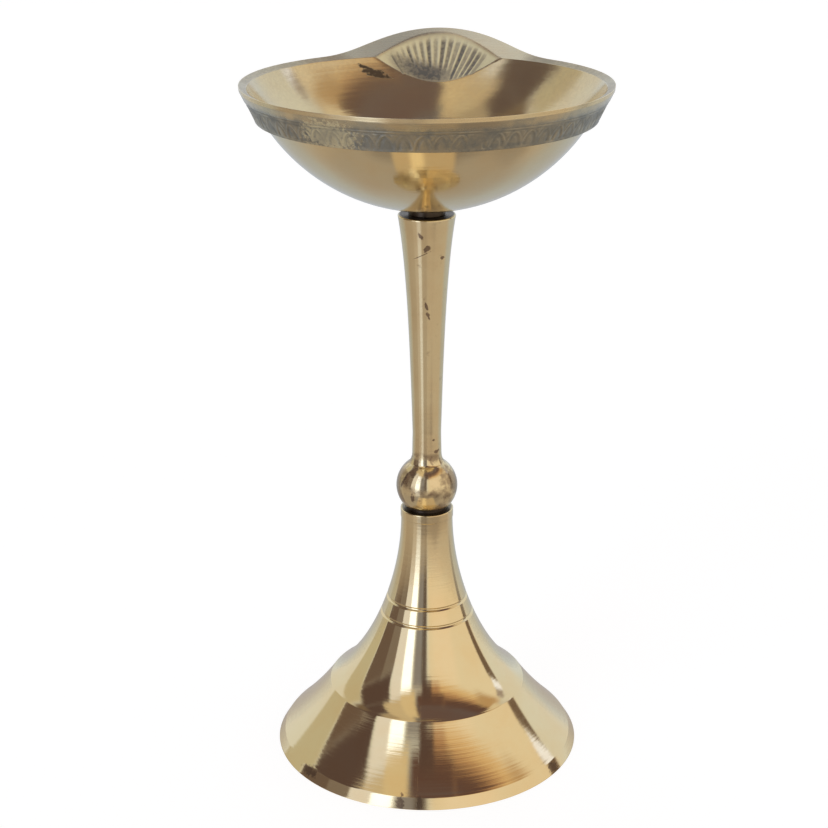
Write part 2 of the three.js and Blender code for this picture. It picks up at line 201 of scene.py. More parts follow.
# Fineness of the meshes, in steps round the axis and along curves
BASE_COLUMNS = 224
STEM_COLUMNS = 128
STUD_COLUMNS = 64
WASHER_COLUMNS = 128
NUT_COLUMNS = 96
SKIRT_STEPS = 28
CONE_STEPS = 100
BALL_LOWER_STEPS = 14
BALL_UPPER_STEPS = 16
GROOVE_STEPS = 8
HOLLOW_SKIRT_STEPS = 10
HOLLOW_CONE_STEPS = 28
SHAFT_STEPS = 70
FILLET_STEPS = 10
DOME_STEPS = 70
THREAD_ROWS = 10
NUT_ROWS = 6
ROUND_STEPS = 4
EDGE_STEPS = 5
# The narrow row beside a crisp edge, the least step up to a ceiling and the distance below which two
# points are one, in mm
EDGE = 0.12
LEAST_STEP = 0.1
SAME_PLACE = 1e-6


def ease(value):
    """0 below 0, 1 above 1 and a smooth step between."""
    value = min(max(value, 0.0), 1.0)
    return value * value * (3 - 2 * value)


# Profiles: points (radius, height) round the axis
def quadratic(start, pull, end, steps):
    made = []
    for i in range(steps + 1):
        t = i / steps
        made.append((1 - t) ** 2 * start + 2 * t * (1 - t) * pull + t * t * end)
    return made


def cubic(start, pull_a, pull_b, end, steps):
    made = []
    for i in range(steps + 1):
        t = i / steps
        s = 1 - t
        made.append(s ** 3 * start + 3 * s * s * t * pull_a + 3 * s * t * t * pull_b + t ** 3 * end)
    return made


def hollow_curve(start, end, sag, steps):
    chord = (end - start).normalized()
    pull = (start + end) / 2 + 2 * sag * Vector((-abs(chord.y), -abs(chord.x)))
    return quadratic(start, pull, end, steps)


def arc_on_axis(middle, radius, start_radius, end_radius, side, steps):
    """An arc of the circle with its middle on the axis, on its upper (1) or lower (-1) side."""
    start = math.asin(min(start_radius / radius, 1))
    end = math.asin(min(end_radius / radius, 1))
    made = []
    for i in range(steps + 1):
        angle = start + (end - start) * i / steps
        made.append(Vector((radius * math.sin(angle), middle + side * radius * math.cos(angle))))
    return made


def cap_radius(rim_radius, depth):
    """Radius of the circle through the axis at its lowest point and through a rim above it."""
    return (rim_radius ** 2 + depth ** 2) / (2 * depth)


def radius_at(profile, height):
    for a, b in zip(profile, profile[1:]):
        if (a.y - height) * (b.y - height) <= 0 and a.y != b.y:
            return a.x + (b.x - a.x) * (height - a.y) / (b.y - a.y)
    return profile[-1].x


def eased(profile, corners):
    """The profile with each named corner, {index: size}, cut back by its size and rounded."""
    made = []
    for i, here in enumerate(profile):
        size = corners.get(i, 0)
        if not size:
            made.append(here)
            continue
        start = here + (profile[i - 1] - here).normalized() * size
        end = here + (profile[i + 1] - here).normalized() * size
        made += quadratic(start, here, end, ROUND_STEPS)
    return made


def braced(profile, reach=0.1, least_turn=math.radians(4)):
    """The profile with a point close beside every corner, so that smooth shading stays in the corner."""
    made = [profile[0]]
    for i in range(1, len(profile)):
        a, b = profile[i - 1], profile[i]
        along = b - a
        turn_a = i > 1 and (a - profile[i - 2]).angle(along, 0) > least_turn
        turn_b = i + 1 < len(profile) and along.angle(profile[i + 1] - b, 0) > least_turn
        step = along.normalized() * reach
        if turn_a and along.length > 3 * reach:
            made.append(a + step)
        if turn_b and along.length > 3 * reach:
            made.append(b - step)
        made.append(b)
    return made


# Meshes
def make_piece(name, points, faces, zones, finishes):
    """A smooth mesh object from points in millimetres round the axis; zones index the finishes."""
    mesh = bpy.data.meshes.new(name)
    placed = [(x * MM + AXIS.x, y * MM + AXIS.y, z * MM) for x, y, z in points]
    mesh.from_pydata(placed, [], faces)
    mesh.polygons.foreach_set("material_index", zones)
    mesh.shade_smooth()
    for finish in finishes:
        mesh.materials.append(finish)
    piece = bpy.data.objects.new(name, mesh)
    bpy.context.scene.collection.objects.link(piece)
    return piece


def turned(name, profile, columns, finishes, second_from=math.inf, wobble=None):
    """A lathe mesh over a profile that is closed or ends on the axis. The profile's rows have the first
    finish and, from the row second_from on, the second. wobble(angle, point) moves radii."""
    points, faces, zones = [], [], []
    closed = (profile[0] - profile[-1]).length < SAME_PLACE
    rows = profile[:-1] if closed else profile
    rings = []
    for row in rows:
        if row.x < SAME_PLACE:
            rings.append([len(points)])
            points.append((0.0, 0.0, row.y))
            continue
        rings.append(range(len(points), len(points) + columns))
        for k in range(columns):
            angle = 2 * math.pi * k / columns
            radius = row.x + (wobble(angle, row) if wobble else 0)
            points.append((radius * math.cos(angle), radius * math.sin(angle), row.y))
    count = len(rows) if closed else len(rows) - 1
    for i in range(count):
        a, b = rings[i], rings[(i + 1) % len(rings)]
        zone = int(i >= second_from)
        for k in range(columns):
            n = (k + 1) % columns
            if len(a) == 1:
                faces.append((a[0], b[n], b[k]))
            elif len(b) == 1:
                faces.append((a[k], a[n], b[0]))
            else:
                faces.append((a[k], a[n], b[n], b[k]))
            zones.append(zone)
    return make_piece(name, points, faces, zones, finishes)


# Base: foot, skirt, shoulder, grooved cone and collar outside, the cast hollow inside
def cone_curve(steps):
    top = Vector((COLLAR_RADIUS - COLLAR_PROUD, BASE_TOP - COLLAR_HEIGHT))
    foot = Vector((SHOULDER_RADIUS, SHOULDER_HEIGHT))
    height = top.y - foot.y
    lower = CONE_LOWER_PULL * height
    pull_a = Vector((foot.x - CONE_FOOT_SLOPE * lower, foot.y + lower))
    pull_b = Vector((top.x, top.y - CONE_UPPER_PULL * height))
    return cubic(foot, pull_a, pull_b, top, steps)


def grooved(profile):
    """The profile with the turned grooves cut in: a rounded hollow with soft lips."""
    half = GROOVE_WIDTH / 2
    clear = GROOVE_CLEAR * half
    made = [p for p in profile if all(abs(p.y - h) > clear for h in GROOVE_HEIGHTS)]
    for height in GROOVE_HEIGHTS:
        for i in range(-GROOVE_STEPS, GROOVE_STEPS + 1):
            offset = GROOVE_LIP * half * i / GROOVE_STEPS
            depth = GROOVE_DEPTH * ease(1.25 - abs(offset) / half)
            made.append(Vector((radius_at(profile, height + offset) - depth, height + offset)))
    return sorted(made, key=lambda p: p.y)


def skirt_curve(steps):
    bevel_top = Vector((FOOT_RADIUS - BEVEL_INSET, BEVEL_HEIGHT))
    shoulder = Vector((SHOULDER_RADIUS, SHOULDER_HEIGHT))
    return hollow_curve(bevel_top, shoulder, SKIRT_HOLLOW, steps)


def cast_hollow(outside):
    """The outside set in by the wall, from the foot up to a flat ceiling."""
    kept = [Vector((FOOT_RADIUS - FOOT_LAND, 0))]
    for i, p in enumerate(outside):
        along = (outside[min(i + 1, len(outside) - 1)] - outside[max(i - 1, 0)]).normalized()
        inner = Vector((p.x - along.y * BASE_WALL, p.y + along.x * BASE_WALL))
        if inner.y > kept[-1].y and inner.x < kept[-1].x:
            kept.append(inner)
    ceiling = Vector((radius_at(kept, CEILING), CEILING))
    return [p for p in kept if p.y < CEILING - LEAST_STEP] + [ceiling]


def base_profile():
    skirt = skirt_curve(SKIRT_STEPS)
    cone = grooved(cone_curve(CONE_STEPS))
    foot_middle = Vector((FOOT_RADIUS - FOOT_LAND / 2, 0))
    outside = [foot_middle, Vector((FOOT_RADIUS, 0))] + skirt + cone[1:] + [
        Vector((COLLAR_RADIUS, BASE_TOP - COLLAR_HEIGHT)),
        Vector((COLLAR_RADIUS, BASE_TOP - COLLAR_PROUD)),
        Vector((COLLAR_RADIUS - COLLAR_PROUD, BASE_TOP)),
    ]
    outside = eased(outside, {1: FOOT_ROUND, 2: BEVEL_ROUND, 2 + SKIRT_STEPS: SHOULDER_ROUND})
    hollow = cast_hollow(skirt_curve(HOLLOW_SKIRT_STEPS) + cone_curve(HOLLOW_CONE_STEPS)[1:])
    bore = [Vector((BORE_RADIUS, BASE_TOP)), Vector((BORE_RADIUS, CEILING))]
    profile = braced(outside + bore + hollow[::-1] + [foot_middle])
    return profile, profile.index(bore[-1])


# Stem: a short foot, the ball, the fillet over it and the shaft
def shaft_curve(waist, steps):
    top = STEM_TOP - STEM_EDGE
    lower = SHAFT_LOWER_PULL * (top - waist)
    upper = SHAFT_UPPER_PULL * (top - waist)
    return cubic(
        Vector((STEM_WAIST_RADIUS, waist)),
        Vector((STEM_WAIST_RADIUS + STEM_WAIST_FLARE * lower, waist + lower)),
        Vector((STEM_TOP_RADIUS - STEM_TOP_FLARE * upper, top - upper)),
        Vector((STEM_TOP_RADIUS, top)),
        steps,
    )


def stem_profile():
    middle = BASE_TOP + STEM_FOOT_HEIGHT + math.sqrt(BALL_RADIUS ** 2 - BALL_FLAT_RADIUS ** 2)
    ball_top = middle + math.sqrt(BALL_RADIUS ** 2 - BALL_NECK_RADIUS ** 2)
    ball = arc_on_axis(middle, BALL_RADIUS, BALL_FLAT_RADIUS, BALL_RADIUS, -1, BALL_LOWER_STEPS)
    ball += arc_on_axis(middle, BALL_RADIUS, BALL_RADIUS, BALL_NECK_RADIUS, 1, BALL_UPPER_STEPS)[1:]
    neck = STEM_WAIST_RADIUS + FILLET_PROUD
    fillet = quadratic(
        Vector((BALL_NECK_RADIUS, ball_top)),
        Vector((neck, ball_top + FILLET_PULL)),
        Vector((neck, ball_top + FILLET_HEIGHT)),
        FILLET_STEPS,
    )
    lower_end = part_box("base_stud")[1].z / MM + BORE_END_GAP
    upper_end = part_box("bowl_stud")[0].z / MM - BORE_END_GAP
    foot = [Vector((STEM_FOOT_RADIUS, BASE_TOP)), Vector((STEM_FOOT_RADIUS, BASE_TOP + STEM_FOOT_HEIGHT))]
    shaft = shaft_curve(ball_top + WAIST_ABOVE_BALL, SHAFT_STEPS)
    top = quadratic(
        shaft[-1],
        Vector((STEM_TOP_RADIUS, STEM_TOP)),
        Vector((STEM_TOP_RADIUS - STEM_EDGE, STEM_TOP)),
        EDGE_STEPS,
    )
    bore = [Vector((BORE_RADIUS, STEM_TOP)), Vector((BORE_RADIUS, upper_end)), Vector((0, upper_end))]
    socket = [Vector((0, lower_end)), Vector((BORE_RADIUS, lower_end)), Vector((BORE_RADIUS, BASE_TOP))]
    return braced(socket + foot + ball + fillet[1:] + shaft + top[1:] + bore)


# Bowl: how much of the lip's reach and rise the rim has at an angle from the lip's middle
def lip_swell(angle):
    share = min(abs(angle) / LIP_HALF_ANGLE, 1)
    return (0.5 * (1 + math.cos(math.pi * share))) ** LIP_SHARPNESS


def rim_edge(angle):
    swell = lip_swell(angle)
    return RIM_RADIUS + LIP_REACH * swell, RIM_HEIGHT + LIP_RISE * swell


INSIDE_CURVE = cap_radius(RIM_INNER_RADIUS, RIM_INNER_HEIGHT - INSIDE_BOTTOM)


def bare_inside(x, y):
    """Height of the turned inside, and of the rim's face beyond it, over a point of the plan."""
    radius = math.hypot(x, y)
    if radius <= RIM_INNER_RADIUS:
        return INSIDE_BOTTOM + INSIDE_CURVE - math.sqrt(INSIDE_CURVE ** 2 - radius ** 2)
    edge_radius, edge_height = rim_edge(math.atan2(x, y))
    share = (radius - RIM_INNER_RADIUS) / (edge_radius - RIM_INNER_RADIUS)
    return RIM_INNER_HEIGHT + (edge_height - RIM_INNER_HEIGHT) * share


def channel_floor(x, y):
    run = y - RIM_INNER_RADIUS
    return RIM_INNER_HEIGHT - CHANNEL_DEPTH + CHANNEL_SLOPE * run + x * x / (2 * CHANNEL_CURVE_RADIUS)


def groove_share(bearing, run, end):
    """How far into a groove of the fan a place is, 0 to 1, at a bearing and a distance from its apex.
    They fade out before the scoop's upper edge, at the distance end. At the left they are narrow
    slots, and at the right they are wide with thin ridges between them."""
    if abs(bearing) > FAN_RIBS * FAN_RIB_ANGLE:
        return 0.0
    side = bearing / (FAN_RIBS * FAN_RIB_ANGLE)
    wave = 0.5 - 0.5 * math.cos(2 * math.pi * bearing / FAN_RIB_ANGLE)
    width = ease(SLOT_SHARPNESS * wave - SLOT_NARROWING + SLOT_WIDENING * side)
    groove = math.floor(bearing / FAN_RIB_ANGLE)
    uneven = 0.74 + 0.26 * math.sin(2.4 * groove + 0.7)
    margin = FAN_MARGIN + (FAN_SIDE_MARGIN - FAN_MARGIN) * abs(side)
    fade = ease((end - margin - run) / FAN_SOFT_END + 0.4 * math.sin(3.1 * groove))
    return width * uneven * fade


def valley_depth(bearing, run, end):
    return RIB_DEPTH * groove_share(bearing, run, end) * min(max((run - FAN_ROOT) / FAN_FADE, 0), 1)


def scooped(bearing, run, end):
    x, y = fan_point(bearing, run)
    return channel_floor(x, y) - valley_depth(bearing, run, end)


def fan_point(bearing, run):
    return run * math.sin(bearing), FAN_APEX + run * math.cos(bearing)


def bisect(function, low, high):
    """Where the function, which has one sign at low and the other at high, changes its sign."""
    sign = function(low) > 0
    for _ in range(40):
        middle = (low + high) / 2
        if (function(middle) > 0) == sign:
            low = middle
        else:
            high = middle
    return (low + high) / 2


# The bowl's top is laid out in columns. At the lip they follow the fan's rays from its apex, and
# elsewhere the radii from the axis. Each has rows on the scoop's lower edge, the inner rim, the
# scoop's upper edge and the outer rim, so that those edges stay crisp.
INSIDE_ROWS = 44
SCOOP_ROWS = 12
FACE_ROWS = 12
LEAST_SCOOP = 0.7
SCOOP_BLUR = 0.4
RIBBED_STEP = FAN_RIB_ANGLE / 8
PLAIN_STEP = math.radians(2.0)
REST_STEP = PLAIN_STEP / 1.4
WIDEST_BEARING = math.radians(88)


def run_to_circle(bearing, radius):
    along = FAN_APEX * math.cos(bearing)
    return math.sqrt(along ** 2 + radius ** 2 - FAN_APEX ** 2) - along


def run_to_edge(bearing):
    def beyond(run):
        x, y = fan_point(bearing, run)
        return math.hypot(x, y) - rim_edge(math.atan2(x, y))[0]
    longest = run_to_circle(bearing, RIM_RADIUS + LIP_REACH + 1)
    return bisect(beyond, run_to_circle(bearing, RIM_INNER_RADIUS), longest)


def scoop_limits(bearing, inner, edge):
    """The runs at which the scoop's floor comes up through the turned inside and the rim's face."""
    def spare(run, end=0.0):
        return scooped(bearing, run, end) - bare_inside(*fan_point(bearing, run))
    if spare(inner) >= 0:
        return inner, inner
    high = bisect(spare, inner, edge)
    return bisect(lambda run: spare(run, high), FAN_APEX_INSET / 4, inner), high


def soft_min(a, b, reach):
    share = min(max(0.5 + 0.5 * (a - b) / reach, 0), 1)
    return a + (b - a) * share - reach * share * (1 - share)


def spread(start, end, count):
    """Evenly spaced values from start up to, and without, end."""
    return [start + (end - start) * i / count for i in range(count)]


def wall_dullness(x, y):
    """Patina on the bowl's wall, which grows towards the rim, and on the rim's face away from the lip."""
    radius = math.hypot(x, y)
    if radius < RIM_INNER_RADIUS:
        return WALL_DULLNESS * ease((radius - DULL_FROM) / (RIM_INNER_RADIUS - DULL_FROM))
    return FACE_DULLNESS * (1 - ease(6 * lip_swell(math.atan2(x, y))))


def top_column(at, inner, edge, low, high, floor):
    """Points (x, y, z, patina, band, scoop) from the bowl's middle out to the rim, over one column."""
    low = min(low, inner - LEAST_SCOOP)
    high = max(high, inner + LEAST_SCOOP)
    start = Vector(at(low))
    plan = [start * share for share in spread(0, 1 - EDGE / start.length, INSIDE_ROWS)]
    plan += [start * (1 - EDGE / start.length)]
    runs = [low, low + EDGE] + spread(low, inner, SCOOP_ROWS)[1:] + spread(inner, high, SCOOP_ROWS)
    runs += [high - EDGE, high, high + EDGE] + spread(high, edge - EDGE, FACE_ROWS)[1:] + [edge - EDGE]
    plan += [Vector(at(run)) for run in sorted(runs)]
    made = []
    for i, p in enumerate(plan):
        bare = bare_inside(p.x, p.y)
        cut, tarnish = floor(p.x, p.y)
        height = soft_min(bare, cut, EDGE) if i > INSIDE_ROWS else bare
        scoop = ease((bare - height) / SCOOP_BLUR)
        tarnish = tarnish * scoop + wall_dullness(p.x, p.y) * (1 - scoop)
        made.append((p.x, p.y, height, tarnish, 0.0, scoop))
    return made


def pooled(x, y):
    """The dark residue at the foot of the fan, 0 to 1, which reaches higher at its left."""
    across = x - POOL_PLACE[0]
    along = y - POOL_PLACE[1] + POOL_LEAN * across
    return ease(POOL_EDGE - math.hypot(across / POOL_REACH[0], along / POOL_REACH[1]))


def lip_column(bearing):
    inner = run_to_circle(bearing, RIM_INNER_RADIUS)
    edge = run_to_edge(bearing)
    low, high = scoop_limits(bearing, inner, edge)

    def floor(x, y):
        run = math.hypot(x, y - FAN_APEX)
        tarnish = max(GROOVE_TARNISH * groove_share(bearing, run, high), pooled(x, y))
        return channel_floor(x, y) - valley_depth(bearing, run, high), tarnish

    x, y = fan_point(bearing, edge)
    points = top_column(lambda run: fan_point(bearing, run), inner, edge, low, high, floor)
    return math.atan2(x, y), points


def plain_column(angle):
    edge = rim_edge(angle)[0]

    def at(run):
        return run * math.sin(angle), run * math.cos(angle)

    def floor(x, y):
        return LIP_TOP, 0.0

    return angle, top_column(at, RIM_INNER_RADIUS, edge, RIM_INNER_RADIUS, RIM_INNER_RADIUS, floor)


def bowl_columns():
    """All columns, by the polar angle of their rim edge, clockwise from the left end of the lip."""
    ribbed = FAN_RIBS * FAN_RIB_ANGLE
    ribbed_count = round(2 * ribbed / RIBBED_STEP)
    side_count = round((WIDEST_BEARING - ribbed) / PLAIN_STEP)
    bearings = spread(-WIDEST_BEARING, -ribbed, side_count)
    bearings += spread(-ribbed, ribbed, ribbed_count)
    bearings += spread(ribbed, WIDEST_BEARING, side_count) + [WIDEST_BEARING]
    columns = [lip_column(bearing) for bearing in bearings]
    last = columns[-1][0]
    rest = 2 * math.pi - 2 * last
    plain_count = round(rest / REST_STEP)
    return columns + [plain_column(last + a) for a in spread(0, rest, plain_count)[1:]]


# Ornament band: lotus petals rolled into the lower part of the band, between two turned lines
PETALS = 64
PETAL_FOOT = 0.55
PETAL_HEIGHT = 3.3
PETAL_SHARPNESS = 2.1
PETAL_FULLNESS = 0.62
PETAL_LINE = 0.26
INNER_WIDTH_SHARE = 0.52
INNER_HEIGHT = 0.66 * PETAL_HEIGHT
INNER_LIFT = 0.1
INNER_RELIEF = 0.75
INNER_SOFTNESS = 0.3
DART_FOOT = 1.5
DART_SLOPE = 0.42
DART_RELIEF = 0.7
DART_SOFTNESS = 0.25
CARVED_FOOT = 0.05
LOWER_LINE = 0.3
LOWER_LINE_WIDTH = 0.2
UPPER_LINE_WIDTH = 0.18
CARVED_TOP = 4.45
CARVED_END = CARVED_TOP + 0.3
CARVING_DEPTH = 0.15
CARVED_TARNISH = 0.45
SMOOTH_ROWS = 8
CARVED_ROWS = 32
STRIP_SPLIT = 4


def ridge(distance, width):
    return ease(1.5 - abs(distance) / width)


def petal_half_width(up, width, height):
    share = min(max(up / height, 0), 1)
    return width / 2 * (1 - share ** PETAL_SHARPNESS) ** PETAL_FULLNESS


def carving(angle, up):
    """Depth of the carving, 0 to 1, at an angle round the band and a height in mm above its foot."""
    if not CARVED_FOOT <= up <= CARVED_END:
        return 0.0
    wear = 0.6 + 0.4 * math.sin(7 * angle + 1.1) * math.sin(23 * angle + 0.9 * up + 0.6)
    pitch = 2 * math.pi * BAND_FOOT_RADIUS / PETALS
    across = ((angle * PETALS / (2 * math.pi)) % 1 - 0.5) * pitch
    rise = up - PETAL_FOOT
    raised = max(ridge(up - LOWER_LINE, LOWER_LINE_WIDTH), ridge(up - CARVED_TOP, UPPER_LINE_WIDTH))
    if 0 <= rise <= PETAL_HEIGHT:
        outer = petal_half_width(rise, pitch, PETAL_HEIGHT)
        inner = petal_half_width(rise - INNER_LIFT, pitch * INNER_WIDTH_SHARE, INNER_HEIGHT)
        raised = max(raised, ridge(abs(across) - outer + PETAL_LINE / 2, PETAL_LINE))
        if rise < INNER_HEIGHT + INNER_LIFT:
            raised = max(raised, INNER_RELIEF * ease((inner - abs(across)) / INNER_SOFTNESS))
    from_cusp = pitch / 2 - abs(across)
    dart = (rise - DART_FOOT) * DART_SLOPE
    if DART_FOOT < rise < PETAL_HEIGHT + INNER_LIFT:
        raised = max(raised, DART_RELIEF * ease((dart - from_cusp) / DART_SOFTNESS))
    return 1 - raised * wear


def band_point(angle, row):
    """A point of the band's strip, row 0 at the land and the last row at the band's foot, and its depth."""
    edge_radius, edge_height = rim_edge(angle)
    land = Vector((edge_radius - RIM_LAND_DRAFT, edge_height - RIM_LAND))
    foot = Vector((BAND_FOOT_RADIUS, BAND_FOOT))
    slope = land - foot
    if row < SMOOTH_ROWS:
        up = slope.length - (slope.length - CARVED_END) * row / SMOOTH_ROWS
    else:
        up = CARVED_END * (1 - (row - SMOOTH_ROWS) / CARVED_ROWS)
    inward = Vector((-slope.y, slope.x)).normalized()
    depth = carving(angle, up)
    place = foot + slope.normalized() * up + inward * CARVING_DEPTH * depth
    return place.x * math.sin(angle), place.x * math.cos(angle), place.y, CARVED_TARNISH * depth


def edge_rows(angle, last_point):
    """The rounded outer edge of the rim and the land below it, as (radius, height) under one angle."""
    edge_radius, edge_height = rim_edge(angle)
    edge = Vector((edge_radius, edge_height))
    land = Vector((edge_radius - RIM_LAND_DRAFT, edge_height - RIM_LAND))
    start = Vector((math.hypot(last_point[0], last_point[1]), last_point[2]))
    down = edge + (land - edge).normalized() * EDGE
    near_land = land + (edge - land).normalized() * NEAR_LAND
    return quadratic(start, edge, down, EDGE_STEPS)[1:] + [down.lerp(land, 0.4), near_land]


def under_rows():
    """The ledge under the band, the dome, the boss and the stud's hole, the same under every angle."""
    dome_rim = BAND_FOOT_RADIUS - BAND_LEDGE
    dome = cap_radius(dome_rim, BAND_FOOT - DOME_BOTTOM)
    hole_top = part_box("bowl_stud")[1].z / MM + BORE_END_GAP
    arc = arc_on_axis(DOME_BOTTOM + dome, dome, dome_rim, BOSS_RADIUS, -1, DOME_STEPS)
    rows = [Vector((BAND_FOOT_RADIUS - LEDGE_ROUND, BAND_FOOT - HAIRLINE))] + arc
    rows = eased(rows, {1: LEDGE_ROUND})
    corner = Vector((BOSS_RADIUS, arc[-1].y - BOSS_FILLET))
    below = Vector((BOSS_RADIUS, arc[-1].y - 2 * BOSS_FILLET))
    rows += quadratic(arc[-1] + Vector((0, -HAIRLINE)), corner, below, 3)
    rows += [Vector((BOSS_RADIUS, STEM_TOP + BOSS_EDGE)), Vector((BOSS_RADIUS - BOSS_EDGE, STEM_TOP))]
    rows += [Vector((BORE_RADIUS, STEM_TOP)), Vector((BORE_RADIUS, hole_top)), Vector((0, hole_top))]
    return braced(rows)


def make_bowl(finish):
    columns = bowl_columns()
    count = len(columns)
    angles = [angle for angle, _ in columns]
    under = under_rows()
    points, patina, on_band, in_scoop, faces = [], [], [], [], []

    def add(x, y, z, tarnish=0.0, band=0.0, scoop=0.0):
        points.append((x, y, z))
        patina.append(tarnish)
        on_band.append(band)
        in_scoop.append(scoop)
        return len(points) - 1

    middle = add(0, 0, INSIDE_BOTTOM)
    rings = []
    for angle, top in columns:
        ring = [add(*p) for p in top[1:]]
        for r, z in edge_rows(angle, top[-1]):
            ring.append(add(r * math.sin(angle), r * math.cos(angle), z))
        rings.append(ring)
    for k in range(count):
        a, b = rings[k], rings[(k + 1) % count]
        faces.append((middle, b[0], a[0]))
        faces += [(a[i], b[i], b[i + 1], a[i + 1]) for i in range(len(a) - 1)]

    fine_angles = []
    for k in range(count):
        ahead = angles[(k + 1) % count] + (2 * math.pi if k + 1 == count else 0)
        fine_angles += spread(angles[k], ahead, STRIP_SPLIT)
    strip = []
    for row in range(SMOOTH_ROWS + CARVED_ROWS + 1):
        strip.append([add(*band_point(angle, row), 1.0) for angle in fine_angles])
    fine_count = len(fine_angles)
    for upper, lower in zip(strip, strip[1:]):
        for k in range(fine_count):
            n = (k + 1) % fine_count
            faces.append((upper[k], upper[n], lower[n], lower[k]))

    skirts = []
    for r, z in under[:-1]:
        skirts.append([add(r * math.sin(a), r * math.cos(a), z) for a in angles])
    hole = add(0, 0, under[-1][1])
    for k in range(count):
        n = (k + 1) % count
        fine = [(k * STRIP_SPLIT + j) % fine_count for j in range(STRIP_SPLIT + 1)]
        faces.append([rings[k][-1], rings[n][-1]] + [strip[0][f] for f in reversed(fine)])
        faces.append([strip[-1][f] for f in fine] + [skirts[0][n], skirts[0][k]])
        faces += [(a[k], a[n], b[n], b[k]) for a, b in zip(skirts, skirts[1:])]
        faces.append((skirts[-1][k], skirts[-1][n], hole))
    piece = make_piece("cast_bowl", points, faces, [0] * len(faces), [finish])
    centre_grain(piece)
    stain(piece, "patina", patina)
    stain(piece, "band", on_band)
    stain(piece, "scoop", in_scoop)
    return piece


def centre_grain(piece):
    """Centres the mesh's own coordinates on the axis, where the direction of the lathe lines comes from."""
    low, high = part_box("bowl")
    piece.data.use_auto_texspace = False
    piece.data.texspace_location = (AXIS.x, AXIS.y, (low.z + high.z) / 2)
    piece.data.texspace_size = (high.y - AXIS.y, high.y - AXIS.y, (high.z - low.z) / 2)


def stain(piece, name, shares):
    """Keeps a share at each vertex under a name, for the finish to read."""
    kept = piece.data.attributes.new(name, "FLOAT", "POINT")
    kept.data.foreach_set("value", shares)


# Studs, washer and nut
def thread_wobble(angle, row):
    """The screw thread's depth, a rounded V that climbs one pitch a turn."""
    turn = (row.y / STUD_PITCH - angle / (2 * math.pi)) % 1
    if row.x < STUD_RADIUS - SAME_PLACE:
        return 0
    return -THREAD_DEPTH * ease(THREAD_STEEPNESS * abs(2 * turn - 1))


def make_stud(name, node, finish):
    low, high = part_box(node)
    bottom, top = low.z / MM, high.z / MM
    steps = round((top - bottom - 2 * STUD_CHAMFER) / STUD_PITCH * THREAD_ROWS)
    shank = [Vector((STUD_RADIUS, z)) for z in spread(bottom + STUD_CHAMFER, top - STUD_CHAMFER, steps)]
    end = STUD_RADIUS - STUD_CHAMFER
    root = end - THREAD_DEPTH
    profile = [Vector((0, bottom)), Vector((root, bottom)), Vector((end, bottom + STUD_END_ROUND))]
    profile += shank
    profile += [Vector((end, top - STUD_END_ROUND)), Vector((root, top)), Vector((0, top))]
    return turned(name, profile, STUD_COLUMNS, [finish], wobble=thread_wobble)


def make_washer(finish):
    radius = (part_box("washer")[1].x - AXIS.x) / MM
    loop = [
        Vector((BORE_RADIUS, WASHER_BOTTOM)),
        Vector((radius, WASHER_BOTTOM)),
        Vector((radius, CEILING)),
        Vector((BORE_RADIUS, CEILING)),
    ]
    loop = eased(loop + [loop[0]], {1: WASHER_LOWER_ROUND, 2: WASHER_UPPER_ROUND})
    return turned("flat_washer", braced(loop), WASHER_COLUMNS, [finish])


def make_nut(finish):
    """A hexagon whose corners are chamfered by cones, with a countersunk bore."""
    flat = NUT_ACROSS_FLATS / 2
    corner = flat / math.cos(math.pi / 6)
    top, bottom = WASHER_BOTTOM, NUT_BOTTOM
    chamfer = (corner - flat) * math.tan(NUT_CHAMFER)
    sink = BORE_RADIUS + NUT_SINK

    def shaped(angle, row):
        if row.x < flat + 0.01:
            return 0
        side = (angle + math.pi / 6) % (math.pi / 3) - math.pi / 6
        from_end = min(row.y - bottom, top - row.y)
        cone = flat + from_end / chamfer * (corner - flat)
        return min(flat / math.cos(side), cone) - row.x

    heights = spread(bottom, bottom + chamfer, NUT_ROWS)[1:]
    heights += spread(bottom + chamfer, top - chamfer, NUT_ROWS)
    heights += spread(top - chamfer, top, NUT_ROWS)
    loop = [Vector((BORE_RADIUS, bottom + NUT_SINK)), Vector((sink, bottom)), Vector((flat, bottom))]
    loop += [Vector((corner, z)) for z in heights]
    loop += [Vector((flat, top)), Vector((sink, top)), Vector((BORE_RADIUS, top - NUT_SINK))]
    return turned("hex_nut", loop + [loop[0]], NUT_COLUMNS, [finish], wobble=shaped)


# Camera: fitted to the circles and edges of the photographed lamp
CAMERA_PLACE = (0.02537, -0.37676, 0.21745)
CAMERA_TILT = math.radians(69.728)
CAMERA_PAN = math.radians(4.2745)
CAMERA_ROLL = math.radians(-0.158)
CAMERA_LENS = 80.72


def make_camera():
    data = bpy.data.cameras.new("camera")
    data.lens = CAMERA_LENS
    camera = bpy.data.objects.new("camera", data)
    camera.location = Vector(CAMERA_PLACE) + Vector((AXIS.x, AXIS.y, 0))
    camera.rotation_euler = (CAMERA_TILT, 0, CAMERA_PAN)
    camera.rotation_euler.rotate_axis("Z", CAMERA_ROLL)
    bpy.context.scene.collection.objects.link(camera)
    bpy.context.scene.camera = camera


class Flow:
    """An output socket of a shader tree. Arithmetic on flows adds Math nodes to the tree."""

    def __init__(self, shader, socket):
        self.shader = shader
        self.socket = socket

    def math(self, operation, *others):
        return self.shader.node("Math", (self, *others), operation=operation)

    def __add__(self, other):
        return self.math("ADD", other)

    def __sub__(self, other):
        return self.math("SUBTRACT", other)

    def __mul__(self, other):
        return self.math("MULTIPLY", other)

    def __truediv__(self, other):
        return self.math("DIVIDE", other)

    def __pow__(self, other):
        return self.math("POWER", other)

    def __rsub__(self, other):
        return self.shader.node("Math", (other, self), operation="SUBTRACT")

    __radd__ = __add__
    __rmul__ = __mul__


